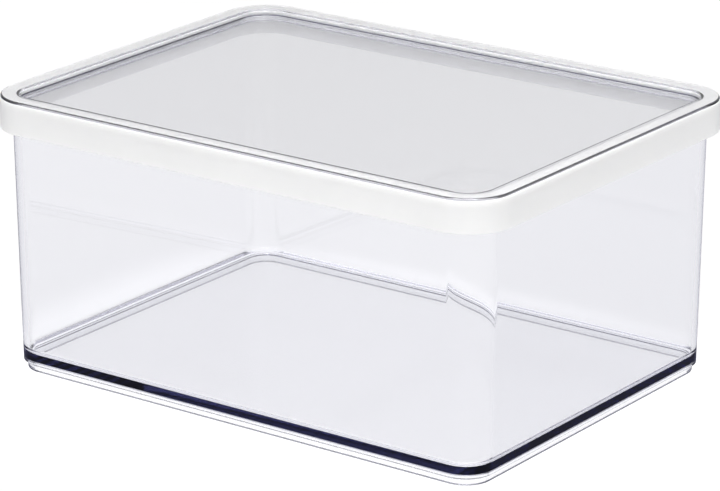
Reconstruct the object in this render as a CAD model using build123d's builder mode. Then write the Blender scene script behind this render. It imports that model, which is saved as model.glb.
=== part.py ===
from build123d import *
from math import atan2, degrees
import os

# Stackable storage bin: a clear moulded tub closed by a lift-off lid.
# The lid is a clear panel set in a white collar, with a soft seal under it.
# Millimetres. +X runs along the length, +Z is up, and the origin is the centre of the
# bin's footprint on the surface it stands on.
#
# Plan outlines are given by their inset from the collar's outside. All of them share
# the same four corner centres, so an outline's corner radius is CORNER_R less its inset.

# ---- overall size ----
LENGTH = 200.0
WIDTH = 150.0
HEIGHT = 96.0
CORNER_R = 16.0

# ---- tub: foot, wall and floor ----
FOOT_INSET = 6.9            # enters the recess in the lid of the bin below
FOOT_H = 2.2                # height of the foot that stands in that recess
SHOULDER_H = 0.9            # slope from the foot out to the wall
WALL_FOOT_INSET = 5.5       # outside of the wall at the shoulder
WALL_MOUTH_INSET = 4.1      # outside of the wall at the mouth
WALL_T = 2.0
FLOOR_UNDER_Z = 3.3
FLOOR_TOP_Z = 5.9
TUB_TOP_Z = 91.6
FOOT_RING_W = 2.1
FLOOR_FILLET = 2.5
FOOT_EDGE_R = 0.5
FOOT_ROOT_R = 0.6

# ---- tub: rim flange, hidden inside the collar ----
FLANGE_INSET = 2.1
FLANGE_T = 1.8
RIM_EDGE_R = 0.4

# ---- lid panel ----
PANEL_INSET = 0.3           # edge of the clear rim, just inside the collar's face
RIM_T = 0.8
PAN_INSET = 5.7             # outside of the sunken pan
RECESS_TOP_INSET = 6.6      # upper inside edge of the raised rim
RECESS_FOOT_INSET = 6.7
RECESS_DEPTH = 2.1
PAN_T = 1.7
PANEL_EDGE_R = 0.65
RECESS_EDGE_R = 0.2
RECESS_ROOT_R = 0.45
PAN_UNDER_R = 0.8

# ---- lid collar ----
COLLAR_H = 10.7
SKIRT_T = 1.7
WEB_T = 1.6                 # flange that carries the panel's rim
WEB_INNER_INSET = 5.6
COLLAR_TOP_R = 0.2
COLLAR_FOOT_R = 0.45
COLLAR_INNER_R = 0.5

# ---- lid seal ----
SEAL_BASE_INSET = 2.2
SEAL_BASE_W = 1.8
SEAL_BASE_T = 1.0
SEAL_LIP_INSET = 2.75
SEAL_LIP_W = 0.9
SEAL_LIP_H = 0.8            # stops 0.2 above the tub's rim
SEAL_LIP_R = 0.3

# ---- derived heights ----
SHOULDER_TOP_Z = FOOT_H + SHOULDER_H
WALL_H = TUB_TOP_Z - SHOULDER_TOP_Z
CAVITY_H = TUB_TOP_Z - FLOOR_TOP_Z
COLLAR_TOP_Z = HEIGHT - RIM_T
COLLAR_FOOT_Z = COLLAR_TOP_Z - COLLAR_H
WEB_UNDER_Z = COLLAR_TOP_Z - WEB_T
PAN_TOP_Z = HEIGHT - RECESS_DEPTH
PAN_UNDER_Z = PAN_TOP_Z - PAN_T
SEAL_BASE_Z = WEB_UNDER_Z - SEAL_BASE_T
SEAL_LIP_Z = SEAL_BASE_Z - SEAL_LIP_H

# ---- draft angles, from the two insets that each face joins ----
SHOULDER_TAPER = degrees(atan2(FOOT_INSET - WALL_FOOT_INSET, SHOULDER_H))
WALL_TAPER = degrees(atan2(WALL_FOOT_INSET - WALL_MOUTH_INSET, WALL_H))
RECESS_TAPER = degrees(atan2(RECESS_FOOT_INSET - RECESS_TOP_INSET, RECESS_DEPTH))
CAVITY_FLOOR_INSET = WALL_MOUTH_INSET + WALL_T + (WALL_FOOT_INSET - WALL_MOUTH_INSET) * CAVITY_H / WALL_H


def outline(inset, mode=Mode.ADD):
    """Rounded plan outline, set in from the collar's outside."""
    return RectangleRounded(
        LENGTH - 2 * inset,
        WIDTH - 2 * inset,
        CORNER_R - inset,
        mode=mode,
    )


def edges_at(part, z, inset):
    """The loop of edges of a part that follows one outline at one height."""
    level = part.edges().filter_by_position(Axis.Z, z - 0.01, z + 0.01)
    x_side = LENGTH / 2 - inset
    y_side = WIDTH / 2 - inset
    centre_x = LENGTH / 2 - CORNER_R
    centre_y = WIDTH / 2 - CORNER_R
    loop = []
    for edge in level:
        point = edge.position_at(0.5)
        over_x = max(abs(point.X) - centre_x, 0)
        over_y = max(abs(point.Y) - centre_y, 0)
        reach = (over_x**2 + over_y**2) ** 0.5
        if abs(reach - (CORNER_R - inset)) < 0.02:
            loop.append(edge)
    return ShapeList(loop)


# ---- tub ----
with BuildPart() as tub:
    # Foot, shoulder and drafted wall as one solid block.
    with BuildSketch(Plane.XY):
        outline(FOOT_INSET)
    extrude(amount=FOOT_H)
    with BuildSketch(Plane.XY.offset(FOOT_H)):
        outline(FOOT_INSET)
    extrude(amount=SHOULDER_H, taper=-SHOULDER_TAPER)
    with BuildSketch(Plane.XY.offset(SHOULDER_TOP_Z)):
        outline(WALL_FOOT_INSET)
    extrude(amount=WALL_H, taper=-WALL_TAPER)

    # Rim flange round the mouth.
    with BuildSketch(Plane.XY.offset(TUB_TOP_Z - FLANGE_T)):
        outline(FLANGE_INSET)
    extrude(amount=FLANGE_T)

    # The space for the goods, and the shallow hollow inside the foot.
    with BuildSketch(Plane.XY.offset(FLOOR_TOP_Z)):
        outline(CAVITY_FLOOR_INSET)
    extrude(amount=CAVITY_H, taper=-WALL_TAPER, mode=Mode.SUBTRACT)
    with BuildSketch(Plane.XY):
        outline(FOOT_INSET + FOOT_RING_W)
    extrude(amount=FLOOR_UNDER_Z, mode=Mode.SUBTRACT)

    # Moulded radii.
    fillet(edges_at(tub.part, FLOOR_TOP_Z, CAVITY_FLOOR_INSET), FLOOR_FILLET)
    fillet(edges_at(tub.part, FLOOR_UNDER_Z, FOOT_INSET + FOOT_RING_W), FOOT_ROOT_R)
    fillet(edges_at(tub.part, 0, FOOT_INSET), FOOT_EDGE_R)
    fillet(edges_at(tub.part, 0, FOOT_INSET + FOOT_RING_W), FOOT_EDGE_R)
    fillet(edges_at(tub.part, TUB_TOP_Z, FLANGE_INSET), RIM_EDGE_R)
    fillet(edges_at(tub.part, TUB_TOP_Z - FLANGE_T, FLANGE_INSET), RIM_EDGE_R)
    fillet(edges_at(tub.part, TUB_TOP_Z, WALL_MOUTH_INSET + WALL_T), RIM_EDGE_R)
tub.part.label = "tub"
tub.part.color = Color(0.86, 0.87, 0.94, 0.3)

# ---- lid panel ----
with BuildPart() as lid_panel:
    # Flat rim that overlaps the collar, with the pan hanging inside it.
    with BuildSketch(Plane.XY.offset(COLLAR_TOP_Z)):
        outline(PANEL_INSET)
    extrude(amount=RIM_T)
    with BuildSketch(Plane.XY.offset(PAN_UNDER_Z)):
        outline(PAN_INSET)
    extrude(amount=COLLAR_TOP_Z - PAN_UNDER_Z)

    # Stacking recess, which takes the foot of the bin above.
    with BuildSketch(Plane.XY.offset(PAN_TOP_Z)):
        outline(RECESS_FOOT_INSET)
    extrude(amount=RECESS_DEPTH, taper=-RECESS_TAPER, mode=Mode.SUBTRACT)

    # Moulded radii.
    fillet(edges_at(lid_panel.part, PAN_TOP_Z, RECESS_FOOT_INSET), RECESS_ROOT_R)
    fillet(edges_at(lid_panel.part, PAN_UNDER_Z, PAN_INSET), PAN_UNDER_R)
    fillet(edges_at(lid_panel.part, HEIGHT, PANEL_INSET), PANEL_EDGE_R)
    fillet(edges_at(lid_panel.part, HEIGHT, RECESS_TOP_INSET), RECESS_EDGE_R)
lid_panel.part.label = "lid_panel"
lid_panel.part.color = Color(0.86, 0.87, 0.92, 0.35)

# ---- lid collar ----
with BuildPart() as lid_collar:
    # Skirt that laps over the tub's rim.
    with BuildSketch(Plane.XY.offset(COLLAR_FOOT_Z)):
        outline(0)
        outline(SKIRT_T, mode=Mode.SUBTRACT)
    extrude(amount=COLLAR_H)

    # Inward web under the panel's rim.
    with BuildSketch(Plane.XY.offset(WEB_UNDER_Z)):
        outline(0)
        outline(WEB_INNER_INSET, mode=Mode.SUBTRACT)
    extrude(amount=WEB_T)

    # Moulded radii.
    fillet(edges_at(lid_collar.part, WEB_UNDER_Z, SKIRT_T), COLLAR_INNER_R)
    fillet(edges_at(lid_collar.part, COLLAR_TOP_Z, 0), COLLAR_TOP_R)
    fillet(edges_at(lid_collar.part, COLLAR_FOOT_Z, 0), COLLAR_FOOT_R)
    fillet(edges_at(lid_collar.part, COLLAR_FOOT_Z, SKIRT_T), COLLAR_FOOT_R)
lid_collar.part.label = "lid_collar"
lid_collar.part.color = Color(0.93, 0.93, 0.93)

# ---- lid seal ----
with BuildPart() as lid_seal:
    # Flat base held under the collar's web.
    with BuildSketch(Plane.XY.offset(SEAL_BASE_Z)):
        outline(SEAL_BASE_INSET)
        outline(SEAL_BASE_INSET + SEAL_BASE_W, mode=Mode.SUBTRACT)
    extrude(amount=SEAL_BASE_T)

    # Lip that meets the top of the tub's rim.
    with BuildSketch(Plane.XY.offset(SEAL_LIP_Z)):
        outline(SEAL_LIP_INSET)
        outline(SEAL_LIP_INSET + SEAL_LIP_W, mode=Mode.SUBTRACT)
    extrude(amount=SEAL_LIP_H)
    fillet(edges_at(lid_seal.part, SEAL_LIP_Z, SEAL_LIP_INSET), SEAL_LIP_R)
    fillet(edges_at(lid_seal.part, SEAL_LIP_Z, SEAL_LIP_INSET + SEAL_LIP_W), SEAL_LIP_R)
lid_seal.part.label = "lid_seal"
lid_seal.part.color = Color(0.82, 0.83, 0.84)

# ---- export ----
os.makedirs("parts", exist_ok=True)
export_step(tub.part, "parts/tub.step")
export_step(lid_panel.part, "parts/lid_panel.step")
export_step(lid_collar.part, "parts/lid_collar.step")
export_step(lid_seal.part, "parts/lid_seal.step")
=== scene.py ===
import math

import bpy
from mathutils import Matrix, Vector


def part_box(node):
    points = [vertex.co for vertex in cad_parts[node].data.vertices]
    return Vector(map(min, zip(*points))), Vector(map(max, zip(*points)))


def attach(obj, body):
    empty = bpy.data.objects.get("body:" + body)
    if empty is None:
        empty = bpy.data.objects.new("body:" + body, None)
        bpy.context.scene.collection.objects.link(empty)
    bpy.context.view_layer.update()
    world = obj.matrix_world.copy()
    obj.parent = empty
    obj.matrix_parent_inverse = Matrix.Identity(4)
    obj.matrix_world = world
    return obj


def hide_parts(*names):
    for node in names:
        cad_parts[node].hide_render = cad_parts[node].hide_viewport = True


# Stackable storage bin: the look of each CAD node, a pale studio and the camera.
# Blender works in metres in the row frame. The profiles are written in millimetres, as
# points of (inset, height, radius of the corner). An inset is measured in from the
# collar's outside, and every outline is concentric with it.

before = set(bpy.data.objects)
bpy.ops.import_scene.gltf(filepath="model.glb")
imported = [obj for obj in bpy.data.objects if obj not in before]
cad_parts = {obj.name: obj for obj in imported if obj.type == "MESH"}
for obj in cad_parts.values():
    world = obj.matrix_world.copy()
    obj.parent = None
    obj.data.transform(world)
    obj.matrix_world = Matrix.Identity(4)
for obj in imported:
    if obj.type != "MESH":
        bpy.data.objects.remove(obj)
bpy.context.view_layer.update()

MM = 0.001
collar_low, collar_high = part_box("lid_collar")
panel_low, panel_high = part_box("lid_panel")
tub_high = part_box("tub")[1]
HALF_X = collar_high.x / MM
HALF_Y = collar_high.y / MM
CORNER_R = 16.0             # of the collar's outside; an inset outline has that much less
CENTRE_X = HALF_X - CORNER_R
CENTRE_Y = HALF_Y - CORNER_R

# Mesh fineness: steps round each corner, and cells along the straight sides.
CORNER_STEPS = 24
CELLS_X = 24
CELLS_Y = 17


# ---------------------------------------------------------------- mesh tools
def round_corner(before, corner, after, radius, steps):
    """Points and normals of the arc that rounds one corner of a profile."""
    b = Vector(before)
    c = Vector(corner)
    a = Vector(after)
    into = (c - b).normalized()
    out = (a - c).normalized()
    turn = into.x * out.y - into.y * out.x
    angle = into.angle(out)
    cut = radius * math.tan(angle / 2)
    start = c - into * cut
    side = 1.0 if turn > 0 else -1.0
    inward = Vector((-into.y, into.x)) * side
    middle = start + inward * radius
    points = []
    for k in range(steps + 1):
        swing = side * angle * k / steps
        arm = Matrix.Rotation(swing, 2) @ (start - middle)
        heading = Matrix.Rotation(swing, 2) @ into
        normal = Vector((heading.y, -heading.x))
        points.append((middle + arm, normal))
    return points


def profile(corners, closed):
    """Samples a rounded profile. Walking it, the plastic is on the left and air on the right."""
    samples = []
    count = len(corners)
    for i, (s, z, radius) in enumerate(corners):
        if not closed and i in (0, count - 1):
            near = corners[1] if i == 0 else corners[i - 1]
            step = Vector((near[0] - s, near[1] - z)) * (1 if i == 0 else -1)
            step.normalize()
            samples.append((Vector((s, z)), Vector((step.y, -step.x))))
            continue
        before = corners[i - 1][:2]
        after = corners[(i + 1) % count][:2]
        # A larger radius takes more steps.
        steps = 4 if radius < 0.3 else 7 if radius < 1.0 else 14
        samples.extend(round_corner(before, (s, z), after, radius, steps))
    return samples


def loop_points(inset, height, slope):
    """Places and normals of one loop round the bin, from the start of the +X +Y corner."""
    radius = CORNER_R - inset
    quadrants = (
        (1, 1, 0, CELLS_X),
        (-1, 1, 90, CELLS_Y),
        (-1, -1, 180, CELLS_X),
        (1, -1, 270, CELLS_Y),
    )
    places = []
    normals = []
    for i, (sx, sy, start, cells) in enumerate(quadrants):
        cx = sx * CENTRE_X
        cy = sy * CENTRE_Y
        for k in range(CORNER_STEPS + 1):
            a = math.radians(start + 90 * k / CORNER_STEPS)
            u = Vector((math.cos(a), math.sin(a), 0))
            places.append(Vector((cx, cy, height)) + u * radius)
            normals.append((u * -slope.x + Vector((0, 0, slope.y))).normalized())
        nx, ny = quadrants[(i + 1) % 4][:2]
        a = math.radians(start + 90)
        u = Vector((math.cos(a), math.sin(a), 0))
        here = Vector((cx, cy, height)) + u * radius
        there = Vector((nx * CENTRE_X, ny * CENTRE_Y, height)) + u * radius
        for k in range(1, cells):
            places.append(here.lerp(there, k / cells))
            normals.append((u * -slope.x + Vector((0, 0, slope.y))).normalized())
    return places, normals


def loop_corner_index():
    """Index in a loop of the first point of each corner arc."""
    step = CORNER_STEPS + 1
    return (
        0,
        step + CELLS_X - 1,
        2 * step + CELLS_X + CELLS_Y - 2,
        3 * step + 2 * CELLS_X + CELLS_Y - 3,
    )


def cap(verts, normals, faces, base, height, up):
    """Fills the flat middle inside the last loop with a grid, and closes the corner fans."""
    count = 4 * (CORNER_STEPS + 1) + 2 * (CELLS_X - 1) + 2 * (CELLS_Y - 1)
    corner = loop_corner_index()
    first = len(verts)
    nz = Vector((0, 0, 1 if up else -1))
    for j in range(CELLS_Y + 1):
        for i in range(CELLS_X + 1):
            x = -CENTRE_X + 2 * CENTRE_X * i / CELLS_X
            y = -CENTRE_Y + 2 * CENTRE_Y * j / CELLS_Y
            verts.append(Vector((x, y, height)))
            normals.append(nz)

    def grid(i, j):
        return first + j * (CELLS_X + 1) + i

    def add(ring):
        faces.append(tuple(ring) if up else tuple(reversed(ring)))

    for j in range(CELLS_Y):
        for i in range(CELLS_X):
            add((grid(i, j), grid(i + 1, j), grid(i + 1, j + 1), grid(i, j + 1)))
    centres = (
        grid(CELLS_X, CELLS_Y),
        grid(0, CELLS_Y),
        grid(0, 0),
        grid(CELLS_X, 0),
    )
    rows = (
        [grid(CELLS_X - k, CELLS_Y) for k in range(CELLS_X + 1)],
        [grid(0, CELLS_Y - k) for k in range(CELLS_Y + 1)],
        [grid(k, 0) for k in range(CELLS_X + 1)],
        [grid(CELLS_X, k) for k in range(CELLS_Y + 1)],
    )
    for q in range(4):
        for k in range(CORNER_STEPS):
            add((base + corner[q] + k, base + corner[q] + k + 1, centres[q]))
        start = corner[q] + CORNER_STEPS
        for k in range(len(rows[q]) - 1):
            a = base + (start + k) % count
            b = base + (start + k + 1) % count
            add((a, b, rows[q][k + 1], rows[q][k]))


def sweep(name, corners, closed):
    """A moulded piece: a rounded profile carried round the bin, capped if it is open."""
    samples = profile(corners, closed)
    verts = []
    normals = []
    faces = []
    count = 0
    for point, slope in samples:
        places, loop_normals = loop_points(point.x, point.y, slope)
        count = len(places)
        verts.extend(places)
        normals.extend(loop_normals)
    rings = len(samples)
    for r in range(rings if closed else rings - 1):
        low = r * count
        high = ((r + 1) % rings) * count
        for k in range(count):
            n = (k + 1) % count
            faces.append((low + k, high + k, high + n, low + n))
    if not closed:
        cap(verts, normals, faces, 0, samples[0][0].y, True)
        cap(verts, normals, faces, (rings - 1) * count, samples[-1][0].y, False)
    mesh = bpy.data.meshes.new(name)
    mesh.from_pydata([v * MM for v in verts], [], faces)
    mesh.validate()
    mesh.shade_smooth()
    mesh.normals_split_custom_set_from_vertices(normals)
    mesh.update()
    piece = bpy.data.objects.new(name, mesh)
    bpy.context.scene.collection.objects.link(piece)
    return piece


# ---------------------------------------------------------------- node tools
RELIEF = 0.00002            # metres, the height of the surface relief in every material


def new_material(name):
    """A material with its node tree and its main shader."""
    mat = bpy.data.materials.new(name)
    mat.use_nodes = True
    tree = mat.node_tree
    shader = tree.nodes["Principled BSDF"]
    return mat, tree, shader


def noise(tree, scale, detail, low, high):
    """Object-space noise mapped to a narrow range."""
    place = tree.nodes.new("ShaderNodeTexCoord")
    tex = tree.nodes.new("ShaderNodeTexNoise")
    tex.inputs["Scale"].default_value = scale
    tex.inputs["Detail"].default_value = detail
    tree.links.new(place.outputs["Object"], tex.inputs["Vector"])
    span = tree.nodes.new("ShaderNodeMapRange")
    span.inputs["To Min"].default_value = low
    span.inputs["To Max"].default_value = high
    tree.links.new(tex.outputs["Fac"], span.inputs["Value"])
    return span.outputs["Result"]


def bump(tree, height, strength):
    """Normal that follows a fine height pattern."""
    node = tree.nodes.new("ShaderNodeBump")
    node.inputs["Strength"].default_value = strength
    node.inputs["Distance"].default_value = RELIEF
    tree.links.new(height, node.inputs["Height"])
    return node.outputs["Normal"]


def two_tones(tree, scale, first, second):
    """Slow colour variation between two close tones."""
    tone = tree.nodes.new("ShaderNodeMix")
    tone.data_type = "RGBA"
    tone.inputs["A"].default_value = first
    tone.inputs["B"].default_value = second
    tree.links.new(noise(tree, scale, 3, 0, 1), tone.inputs["Factor"])
    return tone.outputs["Result"]


def scatter(shader, radius, scale):
    """Lets light through a thin wall of milky plastic."""
    shader.inputs["Subsurface Weight"].default_value = 1.0
    shader.inputs["Subsurface Radius"].default_value = radius
    shader.inputs["Subsurface Scale"].default_value = scale


def clear_plastic(name, absorb):
    """Polished clear styrene plastic; long paths through it turn dark and bluish.

    absorb is the loss per metre of path in red, green and blue.
    """
    mat, tree, shader = new_material(name)
    shader.inputs["Base Color"].default_value = (1, 1, 1, 1)
    shader.inputs["Transmission Weight"].default_value = 1.0
    shader.inputs["IOR"].default_value = 1.57
    shader.inputs["Specular IOR Level"].default_value = 0.2
    tree.links.new(noise(tree, 60, 3, 0.0, 0.03), shader.inputs["Roughness"])
    wave = noise(tree, 28, 1, 0, 1)
    tree.links.new(bump(tree, wave, 0.03), shader.inputs["Normal"])
    volume = tree.nodes.new("ShaderNodeVolumeAbsorption")
    # The loss per metre is the density times one less the colour.
    density = 100.0
    volume.inputs["Color"].default_value = (*(1 - a / density for a in absorb), 1)
    volume.inputs["Density"].default_value = density
    output = next(n for n in tree.nodes if n.type == "OUTPUT_MATERIAL")
    tree.links.new(volume.outputs["Volume"], output.inputs["Volume"])
    return mat


def white_plastic(name):
    """Satin white plastic of the collar, slightly translucent."""
    mat, tree, shader = new_material(name)
    tone = two_tones(tree, 35, (0.66, 0.66, 0.66, 1), (0.69, 0.69, 0.688, 1))
    tree.links.new(tone, shader.inputs["Base Color"])
    tree.links.new(noise(tree, 160, 4, 0.36, 0.46), shader.inputs["Roughness"])
    grain = noise(tree, 2600, 2, 0, 1)
    tree.links.new(bump(tree, grain, 0.1), shader.inputs["Normal"])
    shader.inputs["IOR"].default_value = 1.49
    scatter(shader, (1.0, 1.0, 0.95), 0.004)
    return mat


def seal_rubber(name):
    """Soft translucent elastomer of the seal."""
    mat, tree, shader = new_material(name)
    tone = two_tones(tree, 90, (0.80, 0.81, 0.82, 1), (0.85, 0.86, 0.87, 1))
    tree.links.new(tone, shader.inputs["Base Color"])
    tree.links.new(noise(tree, 240, 3, 0.45, 0.6), shader.inputs["Roughness"])
    grain = noise(tree, 1800, 2, 0, 1)
    tree.links.new(bump(tree, grain, 0.1), shader.inputs["Normal"])
    scatter(shader, (1.0, 1.0, 0.97), 0.003)
    return mat


# ---------------------------------------------------------------- pieces
def dress(piece, node, body, material):
    """Gives a piece its material, ties it to its body and hides the CAD node it stands in for."""
    piece.data.materials.append(material)
    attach(piece, body)
    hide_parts(node)


# Values shared by the profiles, in millimetres.
CAP_INSET = 15.0            # from here inwards the flat middles are closed by a grid
GAP = 0.03                  # keeps the collar and the seal off the faces above them
CRISP_R = 0.1               # for edges that are sharp in the CAD
EASED_R = 0.3               # for the tub's blunt corners and the seal's lip
RIM_T = 0.8                 # the panel's raised flat rim
WEB_T = 1.6                 # the collar's flange under that rim
PAN_INSET = 5.7             # outside of the panel's sunken pan

# Tub: from the middle of the floor up the inside, over the rim and down to the foot ring.
TUB_TOP = tub_high.z / MM
FLOOR_TOP = 5.9
FLOOR_UNDER = 3.3
FOOT_INSET = 6.9
FOOT_H = 2.2
FOOT_RING_W = 2.1
FOOT_EDGE_R = 0.5
SHOULDER_TOP = 3.1
WALL_FOOT_INSET = 5.5       # outside of the wall at the shoulder
WALL_UNDER_FLANGE = 4.128   # and where it meets the rim flange
WALL_INSIDE_FLOOR = 7.456   # inside of the wall at the floor
WALL_INSIDE_MOUTH = 6.1     # and at the mouth
FLANGE_INSET = 2.1
FLANGE_T = 1.8
RIM_R = 0.4
tub_profile = (
    (CAP_INSET, FLOOR_TOP, 0),
    (WALL_INSIDE_FLOOR, FLOOR_TOP, 2.5),
    (WALL_INSIDE_MOUTH, TUB_TOP, RIM_R),
    (FLANGE_INSET, TUB_TOP, RIM_R),
    (FLANGE_INSET, TUB_TOP - FLANGE_T, RIM_R),
    (WALL_UNDER_FLANGE, TUB_TOP - FLANGE_T, EASED_R),
    (WALL_FOOT_INSET, SHOULDER_TOP, EASED_R),
    (FOOT_INSET, FOOT_H, EASED_R),
    (FOOT_INSET, 0.0, FOOT_EDGE_R),
    (FOOT_INSET + FOOT_RING_W, 0.0, FOOT_EDGE_R),
    (FOOT_INSET + FOOT_RING_W, FLOOR_UNDER, 0.6),
    (CAP_INSET, FLOOR_UNDER, 0),
)

# Lid panel: from the middle of the recess, over the rim and round under the pan.
PANEL_TOP = panel_high.z / MM
PAN_LOW = panel_low.z / MM
RECESS_DEPTH = 2.1
RECESS_FOOT_INSET = 6.7
RECESS_TOP_INSET = 6.6
PANEL_INSET = 0.3
panel_profile = (
    (CAP_INSET, PANEL_TOP - RECESS_DEPTH, 0),
    (RECESS_FOOT_INSET, PANEL_TOP - RECESS_DEPTH, 0.45),
    (RECESS_TOP_INSET, PANEL_TOP, 0.2),
    (PANEL_INSET, PANEL_TOP, 0.65),
    (PANEL_INSET, PANEL_TOP - RIM_T, CRISP_R),
    (PAN_INSET, PANEL_TOP - RIM_T, 0.15),
    (PAN_INSET, PAN_LOW, 0.8),
    (CAP_INSET, PAN_LOW, 0),
)

# Lid collar: down the outside of the skirt, up its inside, and round the web.
COLLAR_TOP = collar_high.z / MM
COLLAR_FOOT = collar_low.z / MM
SKIRT_T = 1.7
WEB_INNER_INSET = PAN_INSET - 0.1
COLLAR_FOOT_R = 0.45
collar_profile = (
    (0.0, COLLAR_TOP - GAP, 0.2),
    (0.0, COLLAR_FOOT, COLLAR_FOOT_R),
    (SKIRT_T, COLLAR_FOOT, COLLAR_FOOT_R),
    (SKIRT_T, COLLAR_TOP - WEB_T, 0.5),
    (WEB_INNER_INSET, COLLAR_TOP - WEB_T, CRISP_R),
    (WEB_INNER_INSET, COLLAR_TOP - GAP, CRISP_R),
)

# Lid seal: a flat base under the web, with a lip that reaches down to the tub's rim.
SEAL_TOP = 93.6 - GAP
SEAL_BASE_LOW = 92.6
SEAL_LIP_LOW = 91.8
SEAL_BASE_INSETS = (2.2, 4.0)
SEAL_LIP_INSETS = (2.75, 3.65)
seal_profile = (
    (SEAL_BASE_INSETS[0], SEAL_TOP, CRISP_R),
    (SEAL_BASE_INSETS[0], SEAL_BASE_LOW, 0.15),
    (SEAL_LIP_INSETS[0], SEAL_BASE_LOW, CRISP_R),
    (SEAL_LIP_INSETS[0], SEAL_LIP_LOW, EASED_R),
    (SEAL_LIP_INSETS[1], SEAL_LIP_LOW, EASED_R),
    (SEAL_LIP_INSETS[1], SEAL_BASE_LOW, CRISP_R),
    (SEAL_BASE_INSETS[1], SEAL_BASE_LOW, CRISP_R),
    (SEAL_BASE_INSETS[1], SEAL_TOP, CRISP_R),
)

dress(
    sweep("tub_shell", tub_profile, False),
    "tub",
    "tub",
    clear_plastic("clear_tub", (24.6, 24.3, 16.4)),
)
dress(
    sweep("lid_panel_clear", panel_profile, False),
    "lid_panel",
    "lid",
    clear_plastic("clear_panel", (34.0, 34.0, 26.0)),
)
dress(
    sweep("lid_collar_ring", collar_profile, True),
    "lid_collar",
    "lid",
    white_plastic("white_collar"),
)
dress(
    sweep("lid_seal_ring", seal_profile, True),
    "lid_seal",
    "lid",
    seal_rubber("soft_seal"),
)

# ---------------------------------------------------------------- studio
AZIMUTH = 0.6299            # radians: the camera stands this far round from -Y towards +X
ELEVATION = 0.3248          # radians above the table
DISTANCE = 1.267            # metres from the point it looks at
TABLE_GLOW = 0.905          # emission of the table away from the bin
BIN_GLOW = 1.08             # and under it
LOW_SKY = 0.56              # sky from the horizon up to about 22 degrees
HIGH_SKY = 1.5              # sky from about 49 degrees up
FRONT_SKY = 0.5             # added on the camera's side
BELOW_SKY = (0.16, 0.16, 0.24, 1)   # below the horizon; only reflections see it
TABLE_REACH = 20            # metres from the middle to the table's edges


def maths(tree, operation, first, second=None):
    """One maths step; each input is a socket or a plain number."""
    node = tree.nodes.new("ShaderNodeMath")
    node.operation = operation
    for socket, value in zip(node.inputs, (first, second)):
        if isinstance(value, (int, float)):
            socket.default_value = value
        elif value is not None:
            tree.links.new(value, socket)
    return node.outputs[0]


def ramp(tree, value, start, end, low, high, smooth):
    """Maps a value from start..end to low..high, with eased ends if smooth."""
    node = tree.nodes.new("ShaderNodeMapRange")
    if smooth:
        node.interpolation_type = "SMOOTHSTEP"
    node.inputs["From Min"].default_value = start
    node.inputs["From Max"].default_value = end
    node.inputs["To Min"].default_value = low
    node.inputs["To Max"].default_value = high
    tree.links.new(value, node.inputs["Value"])
    return node.outputs["Result"]


def lay_floor():
    """Wide pale table that glows a little more under the bin, with a soft edge."""
    mesh = bpy.data.meshes.new("floor")
    corners = [(x * TABLE_REACH, y * TABLE_REACH, 0) for x, y in ((-1, -1), (1, -1), (1, 1), (-1, 1))]
    mesh.from_pydata(corners, [], [(0, 1, 2, 3)])
    floor = bpy.data.objects.new("floor", mesh)
    bpy.context.scene.collection.objects.link(floor)
    mat, tree, shader = new_material("studio_floor")
    shader.inputs["Base Color"].default_value = (0.06, 0.06, 0.06, 1)
    shader.inputs["Roughness"].default_value = 0.8
    shader.inputs["Specular IOR Level"].default_value = 0.2
    shader.inputs["Emission Color"].default_value = (1, 1, 1, 1)
    place = tree.nodes.new("ShaderNodeTexCoord")
    size = tree.nodes.new("ShaderNodeVectorMath")
    size.operation = "MULTIPLY"
    size.inputs[1].default_value = (1 / (HALF_X * MM), 1 / (HALF_Y * MM), 0)
    tree.links.new(place.outputs["Object"], size.inputs[0])
    split = tree.nodes.new("ShaderNodeSeparateXYZ")
    tree.links.new(size.outputs["Vector"], split.inputs["Vector"])
    # The sum of fourth powers is 1 on a rounded rectangle that touches the footprint's sides.
    across = maths(tree, "POWER", maths(tree, "ABSOLUTE", split.outputs["X"]), 4)
    along = maths(tree, "POWER", maths(tree, "ABSOLUTE", split.outputs["Y"]), 4)
    reach = maths(tree, "ADD", across, along)
    glow = ramp(tree, reach, 0.75, 3.5, BIN_GLOW, TABLE_GLOW, True)
    tree.links.new(glow, shader.inputs["Emission Strength"])
    mesh.materials.append(mat)
    # Reflections see the dark lower sky in its place.
    floor.visible_glossy = False


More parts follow.
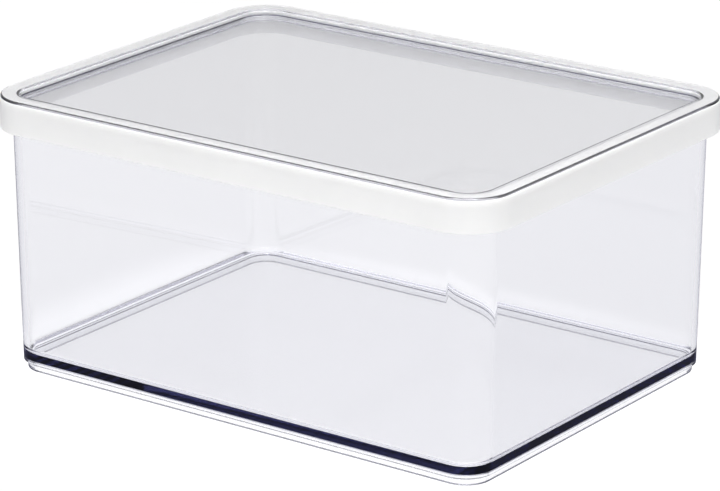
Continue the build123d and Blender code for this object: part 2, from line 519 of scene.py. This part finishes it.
def hang_sky():
    """Soft sky: dim low down, bright overhead, brighter in front, dark below the table."""
    world = bpy.data.worlds.new("studio")
    world.use_nodes = True
    bpy.context.scene.world = world
    tree = world.node_tree
    place = tree.nodes.new("ShaderNodeTexCoord")
    split = tree.nodes.new("ShaderNodeSeparateXYZ")
    tree.links.new(place.outputs["Generated"], split.inputs["Vector"])
    rise = ramp(tree, split.outputs["Z"], 0.38, 0.75, LOW_SKY, HIGH_SKY, False)
    facing = tree.nodes.new("ShaderNodeVectorMath")
    facing.operation = "DOT_PRODUCT"
    facing.inputs[1].default_value = (math.sin(AZIMUTH), -math.cos(AZIMUTH), 0)
    tree.links.new(place.outputs["Generated"], facing.inputs[0])
    front = ramp(tree, facing.outputs["Value"], 0.0, 0.9, 0.0, FRONT_SKY, True)
    halves = tree.nodes.new("ShaderNodeMix")
    halves.data_type = "RGBA"
    halves.inputs["A"].default_value = BELOW_SKY
    tree.links.new(maths(tree, "GREATER_THAN", split.outputs["Z"], 0.0), halves.inputs["Factor"])
    tree.links.new(maths(tree, "ADD", rise, front), halves.inputs["B"])
    back = tree.nodes["Background"]
    tree.links.new(halves.outputs["Result"], back.inputs["Color"])
    back.inputs["Strength"].default_value = 1.0


lay_floor()
hang_sky()


def softbox(name, place, aim, width, height, power):
    """Rectangular studio lamp turned towards a point."""
    data = bpy.data.lights.new(name, "AREA")
    data.shape = "RECTANGLE"
    data.size = width
    data.size_y = height
    data.energy = power
    lamp = bpy.data.objects.new(name, data)
    lamp.location = place
    lamp.rotation_euler = (Vector(place) - Vector(aim)).to_track_quat("Z", "Y").to_euler()
    lamp.visible_camera = False
    bpy.context.scene.collection.objects.link(lamp)


softbox("softbox_left", (-1.2, -1.6, 0.9), (0, 0, 0.08), 1.6, 1.1, 2)
softbox("softbox_right", (1.9, -0.3, 0.9), (0, 0, 0.08), 1.6, 1.1, 2)
softbox("softbox_near", (0.13, -0.16, 0.38), (0.11, -0.1, 0.09), 0.24, 0.16, 0.75)

# ---------------------------------------------------------------- camera
target = Vector((0.00857, -0.01153, 0.048))
back_dir = Vector(
    (
        math.sin(AZIMUTH) * math.cos(ELEVATION),
        -math.cos(AZIMUTH) * math.cos(ELEVATION),
        math.sin(ELEVATION),
    )
)
camera_data = bpy.data.cameras.new("camera")
camera_data.sensor_width = 36.0
camera_data.lens = 192.26
camera_data.clip_start = 0.01
camera_data.clip_end = 50.0
camera = bpy.data.objects.new("camera", camera_data)
camera.location = target + back_dir * DISTANCE
camera.rotation_euler = back_dir.to_track_quat("Z", "Y").to_euler()
bpy.context.scene.collection.objects.link(camera)
bpy.context.scene.camera = camera

scene = bpy.context.scene
scene.view_settings.view_transform = "Standard"
scene.cycles.max_bounces = 64
scene.cycles.blur_glossy = 0.0
scene.cycles.glossy_bounces = 64
scene.cycles.transmission_bounces = 64
scene.cycles.diffuse_bounces = 6
scene.cycles.use_denoising = True
